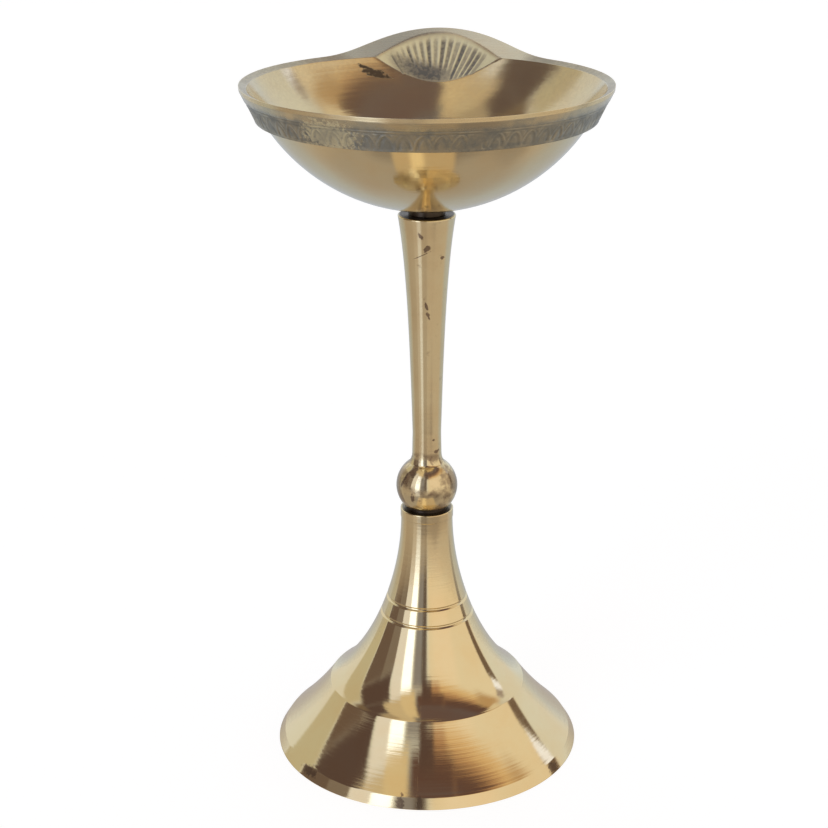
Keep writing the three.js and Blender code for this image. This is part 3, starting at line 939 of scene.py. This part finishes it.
class Shader:
    """The node tree of a material or a world."""

    def __init__(self, owner):
        owner.use_nodes = True
        self.tree = owner.node_tree
        self.tree.nodes.clear()

    def node(self, kind, values=(), output=0, **settings):
        """Adds a node: its settings first, then its sockets by place or by name; gives one output."""
        made = self.tree.nodes.new("ShaderNode" + kind)
        for name, value in settings.items():
            setattr(made, name, value)
        pairs = values.items() if isinstance(values, dict) else enumerate(values)
        for socket, value in pairs:
            if isinstance(value, Flow):
                self.tree.links.new(value.socket, made.inputs[socket])
            else:
                made.inputs[socket].default_value = value
        return Flow(self, made.outputs[output] if made.outputs else None)


def between(shader, value, start, end, low=0.0, high=1.0):
    """Goes smoothly from low to high as the value goes from start to end."""
    sockets = {"Value": value, "From Min": start, "From Max": end, "To Min": low, "To Max": high}
    return shader.node("MapRange", sockets, interpolation_type="SMOOTHSTEP")


def inside(shader, value, low, high, blur):
    """1 while the value is from low to high and 0 elsewhere, with soft ends."""
    above = between(shader, value, low - blur, low + blur)
    return above * between(shader, value, high - blur, high + blur, 1.0, 0.0)


def blend(shader, share, first, second):
    """Mixes two colours, each a flow or (red, green, blue)."""
    colours = [c if isinstance(c, Flow) else (*c, 1) for c in (first, second)]
    sockets = {0: share, 6: colours[0], 7: colours[1]}
    return shader.node("Mix", sockets, output=2, data_type="RGBA")


def noise(shader, place, scale, detail, roughness):
    sockets = {"Vector": place, "Scale": scale, "Detail": detail, "Roughness": roughness}
    return shader.node("TexNoise", sockets)


def apart(shader, place):
    """The three numbers of a vector."""
    split = shader.node("SeparateXYZ", [place]).socket.node
    return [Flow(shader, socket) for socket in split.outputs]


def round_axis(shader, place):
    """Radius, angle and height in millimetres and radians round the lamp's axis."""
    x, y, z = apart(shader, place)
    x = (x - AXIS.x) / MM
    y = (y - AXIS.y) / MM
    radius = (x * x + y * y) ** 0.5
    return radius, x.math("ARCTAN2", y), z / MM


def vector(shader, x, y, z):
    return shader.node("CombineXYZ", [x, y, z])


# Finishes
BRASS = (0.80, 0.68, 0.42)
WARM_BRASS = (0.80, 0.64, 0.37)
PATINA = (0.235, 0.235, 0.215)
BROWN_STAIN = (0.20, 0.125, 0.085)
BAND_PATINA = (0.35, 0.345, 0.29)
CHALK_AND_HIGHLIGHT = (1.0, 0.95, 0.62)
GRIME_AND_SHADE = (0.075, 0.058, 0.048)
CAST_BRASS = (0.46, 0.36, 0.22)

# What lies on the brass, from the lowest layer up: its colour, the roughness that it adds and how much
# of the metal it hides
LAYERS = {
    "band": (BAND_PATINA, 0.28, 0.0),
    # The pale chalk layer also carries a painted highlight on the ornament band
    "chalk_and_highlight": (CHALK_AND_HIGHLIGHT, 0.35, 0.88),
    "stain": (BROWN_STAIN, 0.12, 0.15),
    "patina": (PATINA, 0.35, 0.35),
    # The dark grime layer also carries painted shade in the gaps between pieces
    "grime_and_shade": (GRIME_AND_SHADE, 0.3, 0.0),
}
RUBBED_ROUGHNESS = 0.16


def metal(shader, sockets):
    """Makes the surface of a finish one metal."""
    surface = shader.node("BsdfPrincipled", sockets)
    shader.node("OutputMaterial", {"Surface": surface})


class Turning:
    """What the finish of a turned piece is made from: places round the axis and three sizes of cloud."""

    def __init__(self, shader):
        self.shader = shader
        place = shader.node("TexCoord", output="Object")
        self.radius, self.angle, self.height = round_axis(shader, place)
        self.cloud = noise(shader, place, 90.0, 4.0, 0.6)
        self.mottle = noise(shader, place, 420.0, 5.0, 0.65)
        self.ragged = noise(shader, place, 1300.0, 3.0, 0.6)

    def ramp(self, value, start, end, low=0.0, high=1.0):
        return between(self.shader, value, start, end, low, high)

    def within(self, value, low, high, blur):
        return inside(self.shader, value, low, high, blur)

    def joint_shade(self, low, high, reach):
        """Painted shade in the gap between two pieces: over a range of heights and near the axis."""
        inside = self.ramp(self.radius, reach - 0.6, reach, 1.0, 0.0)
        return self.within(self.height, low, high, 0.2) * inside

    def mark(self, turn, height, wide, tall, slant=0.0):
        """A ragged patch, for the stains and the band's painted highlight, at a turn from the camera's side
        in degrees and a height, in millimetres.
        """
        across = math.pi - self.angle.math("ABSOLUTE")
        side = self.angle.math("SIGN")
        run = (across * side - math.radians(turn)) * self.radius
        up = self.height - height
        lean = run - up * slant
        far = ((lean / wide) ** 2 + (up / tall) ** 2) ** 0.5
        return self.ramp(far + (self.ragged - 0.5) * RAGGEDNESS, 0.6, 1.1, 1.0, 0.0)

    def marks(self, places):
        stain = self.mark(*places[0])
        for place in places[1:]:
            stain = stain.math("MAXIMUM", self.mark(*place))
        return stain


def turned_brass(name, dress, film=0.0, least_rough=0.05):
    """Turned brass with fine lathe lines round the axis and uneven polish. dress(turning) gives the
    share of each layer that lies on it, by name, and how far it is rubbed dull. film is a thin dull
    skin over all of it."""
    finish = bpy.data.materials.new(name)
    shader = Shader(finish)
    turning = Turning(shader)
    radius, angle, height = turning.radius, turning.angle, turning.height
    lines = noise(shader, vector(shader, radius * 4, height * 4, angle * 0.7), 1.0, 3.0, 0.7)
    waves = noise(shader, vector(shader, radius * 1.3, height * 1.3, angle * 0.4), 1.0, 1.0, 0.5)
    laid = dress(turning)
    rubbed = laid.get("rubbed", 0.0)
    tint = blend(shader, between(shader, turning.cloud, 0.35, 0.7), BRASS, WARM_BRASS)
    rough = between(shader, lines, 0.3, 0.7, least_rough, least_rough + 0.05)
    rough += between(shader, turning.cloud, 0.5, 0.8, 0.0, 0.05)
    rough += rubbed * RUBBED_ROUGHNESS
    hidden = film
    for kind, (colour, roughness, hides) in LAYERS.items():
        share = laid.get(kind, 0.0)
        tint = blend(shader, share, tint, colour)
        rough += share * roughness
        hidden += share * hides
    relief = (lines + waves * 1.5) * (1 - rubbed)
    bump = shader.node("Bump", {"Strength": 0.4, "Distance": 0.00002, "Height": relief})
    metal(shader, {
        "Base Color": tint,
        "Metallic": 1 - hidden,
        "Roughness": rough,
        "Anisotropic": 0.75,
        "Anisotropic Rotation": 0.25,
        "Normal": bump,
    })
    return finish


def base_dress(turning):
    """Painted shade on the collar's top under the ball, and small stains along the foot's bevel."""
    # Painted shade in the gap where the ball's foot sits on the collar
    grime_and_shade = turning.joint_shade(BASE_TOP - 0.1, BASE_TOP + 1.0, COLLAR_RADIUS)
    return {"grime_and_shade": grime_and_shade * 0.9, "stain": turning.marks(BASE_MARKS) * 0.75}


def stem_dress(turning):
    """Scratches and brown stains down the shaft, a blotched ball and painted shade in both joints."""
    # Painted shade on the stem's top under the bowl and round the ball's foot
    grime_and_shade = turning.joint_shade(STEM_TOP - 0.4, STEM_TOP + 1.0, STEM_TOP_RADIUS)
    grime_and_shade += turning.joint_shade(BASE_TOP - 1.0, BASE_TOP + 1.5, BALL_FLAT_RADIUS + 0.6)
    ball = turning.within(turning.height, BASE_TOP - 1, BASE_TOP + 2 * BALL_RADIUS, 0.6)
    blotches = ball * turning.ramp(turning.cloud + turning.mottle * 0.35, 0.68, 0.78, 0.0, 0.6)
    specks = turning.ramp(turning.mottle, 0.62, 0.72, 0.0, 0.3)
    marks = turning.marks(STEM_MARKS) * 0.85
    stain = marks.math("MAXIMUM", blotches + specks)
    oxide = turning.ramp(turning.cloud, 0.4, 0.7, 0.0, 0.1)
    return {"grime_and_shade": grime_and_shade.math("MINIMUM", 0.95), "stain": stain, "band": oxide}


def bowl_dress(turning):
    """Patina in the lip's grooves, in the pool at their foot and over the ornament band, pale residue
    between the grooves, painted shade where the stem meets the bowl, bruises on the wall beside the lip,
    and a painted highlight on the ornament band."""
    def share(name):
        return turning.shader.node("Attribute", output="Fac", attribute_name=name)

    kept, outside, scoop = share("patina"), share("band"), share("scoop")
    # Painted shade on the boss, in the gap where the stem meets the bowl
    grime_and_shade = turning.joint_shade(STEM_TOP - 0.4, DOME_BOTTOM + 0.6, STEM_TOP_RADIUS)
    carved = turning.ramp(turning.height, BAND_FOOT + CARVED_TOP, BAND_FOOT + CARVED_TOP + 1.0, 1.0, 0.0)
    streaks = turning.ramp(turning.cloud + turning.mottle * 0.3, 0.5, 0.8, 0.75, 0.25)
    flecks = turning.ramp(turning.mottle + turning.cloud * 0.5, 0.6, 0.9, 1.0, 0.6)
    # Painted highlight on the band: its patina is left off there and half a share of pale chalk laid on
    painted_highlight = outside * turning.mark(*BAND_HIGHLIGHT)
    band = outside * (carved * flecks + (1 - carved) * streaks) * (1 - painted_highlight)
    worn = kept * turning.ramp(turning.cloud, 0.2, 0.75, 0.8, 1.05)
    worn *= turning.ramp(turning.ragged, 0.35, 0.62, 0.78, 1.1)
    chalk_and_highlight = scoop * (1 - worn) * turning.ramp(turning.ragged, 0.35, 0.65, 1.0, 0.86)
    # The bruises beside the lip are dark grime, in the same layer as the painted shade
    grime_and_shade = (grime_and_shade * 0.95).math("MAXIMUM", turning.marks(LIP_BRUISES) * 0.9)
    face = turning.ramp(turning.radius, RIM_INNER_RADIUS, RIM_INNER_RADIUS + 0.1)
    face *= turning.ramp(turning.height, RIM_INNER_HEIGHT - 0.1, RIM_INNER_HEIGHT)
    dull = face.math("MAXIMUM", scoop)
    return {"patina": worn, "grime_and_shade": grime_and_shade, "band": band, "chalk_and_highlight": chalk_and_highlight + painted_highlight * 0.5, "rubbed": dull}


def rough_brass():
    """The casting's skin inside the bell, as it left the sand."""
    finish = bpy.data.materials.new("cast_brass")
    shader = Shader(finish)
    place = shader.node("TexCoord", output="Object")
    grains = noise(shader, place, 1400.0, 3.0, 0.6)
    cloud = noise(shader, place, 140.0, 4.0, 0.6)
    tint = blend(shader, between(shader, cloud, 0.35, 0.7), CAST_BRASS, PATINA)
    bump = shader.node("Bump", {"Strength": 0.6, "Distance": 0.0002, "Height": grains + cloud})
    metal(shader, {
        "Base Color": tint,
        "Metallic": 1.0,
        "Roughness": between(shader, cloud, 0.3, 0.7, 0.45, 0.6),
        "Normal": bump,
    })
    return finish


def screw_finish(name, colour, roughness):
    """Drawn or plated metal, faintly clouded, for the studs, the washer and the nut."""
    finish = bpy.data.materials.new(name)
    shader = Shader(finish)
    place = shader.node("TexCoord", output="Object")
    cloud = noise(shader, place, 500.0, 3.0, 0.6)
    duller = tuple(0.7 * c for c in colour)
    metal(shader, {
        "Base Color": blend(shader, between(shader, cloud, 0.35, 0.7), colour, duller),
        "Metallic": 1.0,
        "Roughness": between(shader, cloud, 0.3, 0.7, roughness, roughness + 0.15),
    })
    return finish


# Studio: the surroundings that the polished metal shows, as panels. Turn is the angle from the camera's
# side, positive to the right, and rise is the angle above the table, both in degrees.
BACKDROP = (1.0, 1.0, 1.0)
REAR_WALL = (0.76, 0.84, 0.97)
PALE_ROOM = (0.82, 0.84, 0.87)
GREY_CEILING = (0.23, 0.23, 0.28)
WARM_WALL = (0.90, 0.81, 0.69)
SUNNY_WALL = (0.96, 0.84, 0.72)
ORANGE_CORNICE = (0.80, 0.58, 0.34)
BURNT_CORNICE = (0.50, 0.30, 0.18)
DIM_CORNICE = (0.56, 0.38, 0.22)
BROWN_CEILING = (0.135, 0.078, 0.074)
OVERHEAD = (0.165, 0.165, 0.21)
DARK_OVERHEAD = (0.15, 0.105, 0.115)
GOLDEN_CURTAIN = (0.78, 0.65, 0.46)
DIM_CURTAIN = (0.68, 0.57, 0.42)
HIGH_CURTAIN = (0.46, 0.38, 0.29)
GOLDEN_LAMP = (0.82, 0.73, 0.60)
WINDOW = (1.7, 1.9, 2.4)
PALE_CURTAIN = (0.90, 0.90, 1.0)
CABINET = (0.115, 0.078, 0.078)
LOWER_CABINET = (0.25, 0.21, 0.20)
CABINET_DOOR = (0.17, 0.125, 0.115)
BESIDE_CABINET = (0.61, 0.575, 0.47)
REAR_CEILING = (0.42, 0.41, 0.50)
GREY_REAR = (0.36, 0.42, 0.62)
SILVER_REAR = (0.76, 0.85, 1.10)
CABINET_SIDE = (0.20, 0.15, 0.12)
STAND = (0.30, 0.30, 0.36)
DARK_STAND = (0.15, 0.125, 0.13)
STAND_HEAD = (0.115, 0.075, 0.075)
DOORWAY = (0.20, 0.145, 0.12)
DOOR_LIGHT = (1.1, 1.2, 1.6)
DOOR_TOP = (0.42, 0.37, 0.38)

# Each panel's light, its turns, its rises, and how softly its sides and then its top and bottom end.
# A last value leans it. Later panels lie over earlier ones.
PANELS = (
    (WARM_WALL, (7, 118), (-90, 50), 5),
    (SUNNY_WALL, (16, 58), (4, 40), 8, 5),
    (ORANGE_CORNICE, (16, 92), (41, 60), 6),
    (BURNT_CORNICE, (10, 92), (46.5, 60), 4, 1.5),
    (BURNT_CORNICE, (6, 26), (41, 60), 4, 2),
    (DIM_CORNICE, (86, 118), (38, 60), 8, 3),
    (BROWN_CEILING, (-14, 34), (48, 66), 3, 1.5),
    (BROWN_CEILING, (34, 112), (50.5, 66), 3, 1.5),
    (OVERHEAD, (-181, 181), (62, 96), 1, 6),
    (DARK_OVERHEAD, (-20, 114), (62, 84), 3, 4),
    (REAR_CEILING, (-181, -112), (46, 74), 6),
    (GREY_REAR, (150, 181), (46, 61), 3),
    (GREY_REAR, (-181, -174), (46, 61), 2),
    (SILVER_REAR, (-174, -153), (46, 61), 2, 3),
    (HIGH_CURTAIN, (-124, -66), (62, 80), 6),
    (DIM_CURTAIN, (-72, -38), (50, 83), 2),
    (GOLDEN_CURTAIN, (-42, -17), (46, 76), 2, 3),
    (GOLDEN_LAMP, (112, 132), (44, 58), 2),
    (WINDOW, (-41, -23.5), (-16, 45), 1.5),
    (PALE_CURTAIN, (-57.5, -41), (-16, 50), 0.7),
    (CABINET_SIDE, (-132, -101), (45, 62), 2),
    (CABINET, (-101, -59.5), (28, 50), 0.7),
    (CABINET, (-102, -72), (49, 62), 0.7),
    (LOWER_CABINET, (-77, -58), (-4, 29), 0.7),
    (CABINET_DOOR, (-101, -76), (-4, 29), 0.7),
    (BESIDE_CABINET, (-124, -102), (-8, 42), 1.5),
    (STAND, (-21, 1), (-10, 44), 3),
    (DARK_STAND, (-6.5, 3.5), (-8, 42), 2.5),
    (STAND_HEAD, (-5, 12), (40, 54), 2),
    (DOOR_TOP, (114, 123), (28, 36), 1.5, 1.5),
    (DOORWAY, (104.5, 115.5), (-4, 20.5), 1.2, 1.5, 0.25),
    (DOOR_LIGHT, (112.5, 122), (21.5, 28), 1, 1),
    (REAR_WALL, (150, 181), (-12, 46), 6),
    (REAR_WALL, (-181, -150), (-12, 46), 6),
)


def make_studio():
    world = bpy.data.worlds.new("studio")
    bpy.context.scene.world = world
    shader = Shader(world)
    way = shader.node("TexCoord", output="Generated")
    x, y, z = apart(shader, way)
    turn = x.math("ARCTAN2", y * -1) * math.degrees(1)
    rise = z.math("ARCSINE") * math.degrees(1)

    def panel(light, colour, turns, rises, blur, rise_blur=2.5, lean=0.0):
        run = turn - rise * lean if lean else turn
        share = inside(shader, run, *turns, blur) * inside(shader, rise, *rises, rise_blur)
        return blend(shader, share, light, colour)

    light = blend(shader, between(shader, rise, 35, 62), PALE_ROOM, GREY_CEILING)
    for colour, *place in PANELS:
        light = panel(light, colour, *place)
    seen = shader.node("LightPath", output="Is Camera Ray")
    light = blend(shader, seen, light, BACKDROP)
    glow = shader.node("Background", {"Color": light, "Strength": 1.0})
    shader.node("OutputWorld", {"Surface": glow})


# Table: how bright the metal shows it, by place, under a faint mirror of the room. Reaches are in
# millimetres from the lamp's axis.
TABLE_TONE = (0.46, 0.40, 0.35)
TABLE_FAR = (0.58, 0.49, 0.40)
TABLE_BEHIND = (0.50, 0.57, 0.66)
# Painted shadows on the table, which only the metal sees: in front of the foot and at its right
TABLE_SHADOW_IN_FRONT = (0.24, 0.195, 0.165)
TABLE_SHADOW_RIGHT = (0.36, 0.305, 0.26)
# Painted light on the table, which only the metal sees: the window's gleam in front of the lamp, and a
# golden glow with a bright streak just in front of the foot
LIT_TABLE = (0.80, 0.78, 0.80)
GOLD_LIGHT_STREAK = (1.25, 0.98, 0.56)
GOLD_LIGHT_PATCH = (0.72, 0.54, 0.31)
MIRROR_INDEX = 1.5
MIRROR_ROUGHNESS = 0.12
# The floor glows to the camera, so that it looks white and its shadow stays faint
FLOOR_REACH = 3.0
FLOOR_GREY = (0.8, 0.8, 0.8, 1)
FLOOR_GLOW = 1.26
GLOW_SHARE = 0.7


def make_table():
    """A pale floor that looks white and keeps the lamp's shadow. Metal shows it in a tabletop's tones, with
    painted shadows and painted light.
    """
    mesh = bpy.data.meshes.new("floor")
    reach = FLOOR_REACH
    corners = [(-reach, -reach, 0), (reach, -reach, 0), (reach, reach, 0), (-reach, reach, 0)]
    mesh.from_pydata(corners, [], [(0, 1, 2, 3)])
    floor = bpy.data.objects.new("floor", mesh)
    bpy.context.scene.collection.objects.link(floor)
    finish = bpy.data.materials.new("pale_table")
    mesh.materials.append(finish)
    shader = Shader(finish)
    place = shader.node("TexCoord", output="Object")
    x, y, _ = apart(shader, place)
    x = (x - AXIS.x) / MM
    y = (y - AXIS.y) / MM

    def patch(tone, colour, across, along, blur, widening=0.0, far_blur=0.0):
        run = x / (1 - (y + FOOT_RADIUS) * widening)
        share = inside(shader, run, *across, blur) * inside(shader, y, *along, far_blur or blur)
        return blend(shader, share, tone, colour)

    away = (x * x + y * y) ** 0.5
    tone = blend(shader, between(shader, away, 90, 150), TABLE_TONE, TABLE_FAR)
    tone = blend(shader, between(shader, y, 10, 130), tone, TABLE_BEHIND)
    # Painted shadows on the table, seen by the metal
    tone = patch(tone, TABLE_SHADOW_IN_FRONT, (-74, 130), (-160, -44), 16)
    tone = patch(tone, TABLE_SHADOW_RIGHT, (84, 134), (-60, 30), 14)
    # Painted light on the table, seen by the metal
    tone = patch(tone, LIT_TABLE, (-17, -8.5), (-460, -130), 1.5, 0.05, 25)
    tone = patch(tone, GOLD_LIGHT_PATCH, (-34, 34), (-100, -20), 3, 0.007)
    tone = patch(tone, GOLD_LIGHT_STREAK, (-14, 0), (-100, -20), 4, 0.007)
    camera = shader.node("LightPath", output="Is Camera Ray")
    glossy = shader.node("LightPath", output="Is Glossy Ray")
    through = shader.node("LightPath", output="Is Transmission Ray")
    matt = shader.node("BsdfDiffuse", {"Color": FLOOR_GREY})
    glow = shader.node("Emission", {
        "Color": blend(shader, camera, tone, BACKDROP),
        "Strength": camera * FLOOR_GLOW + glossy + through,
    })
    both = shader.node("MixShader", {0: GLOW_SHARE, 1: matt, 2: glow})
    white = (*BACKDROP, 1)
    mirror = shader.node("BsdfAnisotropic", {"Color": white, "Roughness": MIRROR_ROUGHNESS})
    share = shader.node("Fresnel", {"IOR": MIRROR_INDEX}) * glossy
    table = shader.node("MixShader", {0: share, 1: both, 2: mirror})
    shader.node("OutputMaterial", {"Surface": table})


make_camera()
make_studio()
make_table()
bpy.context.scene.view_settings.view_transform = "Standard"

base_outline, hollow_from = base_profile()
base_finishes = [turned_brass("turned_brass", base_dress), rough_brass()]
base = turned("turned_base", base_outline, BASE_COLUMNS, base_finishes, hollow_from)
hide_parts("base")
stem_finish = turned_brass("stained_brass", stem_dress, film=0.05, least_rough=0.08)
stem = turned("turned_stem", stem_profile(), STEM_COLUMNS, [stem_finish])
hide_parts("stem")
bowl = make_bowl(turned_brass("bowl_brass", bowl_dress, film=0.07, least_rough=0.07))
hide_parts("bowl")
SCREW_BRASS = screw_finish("screw_brass", (0.66, 0.54, 0.34), 0.3)
ZINC = screw_finish("zinc_plate", (0.61, 0.60, 0.58), 0.32)
bowl_stud = make_stud("threaded_bowl_stud", "bowl_stud", SCREW_BRASS)
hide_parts("bowl_stud")
base_stud = make_stud("threaded_base_stud", "base_stud", SCREW_BRASS)
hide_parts("base_stud")
washer = make_washer(ZINC)
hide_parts("washer")
nut = make_nut(ZINC)
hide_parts("nut")
for piece, body, slot in (
    (base, "stand", "polished_brass"),
    (stem, "stand", "polished_brass"),
    (bowl, "bowl", "polished_brass"),
    (bowl_stud, "stud", "stud_brass"),
    (base_stud, "stand", "stud_brass"),
    (washer, "stand", "plated_steel"),
    (nut, "stand", "plated_steel"),
):
    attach(piece, body)
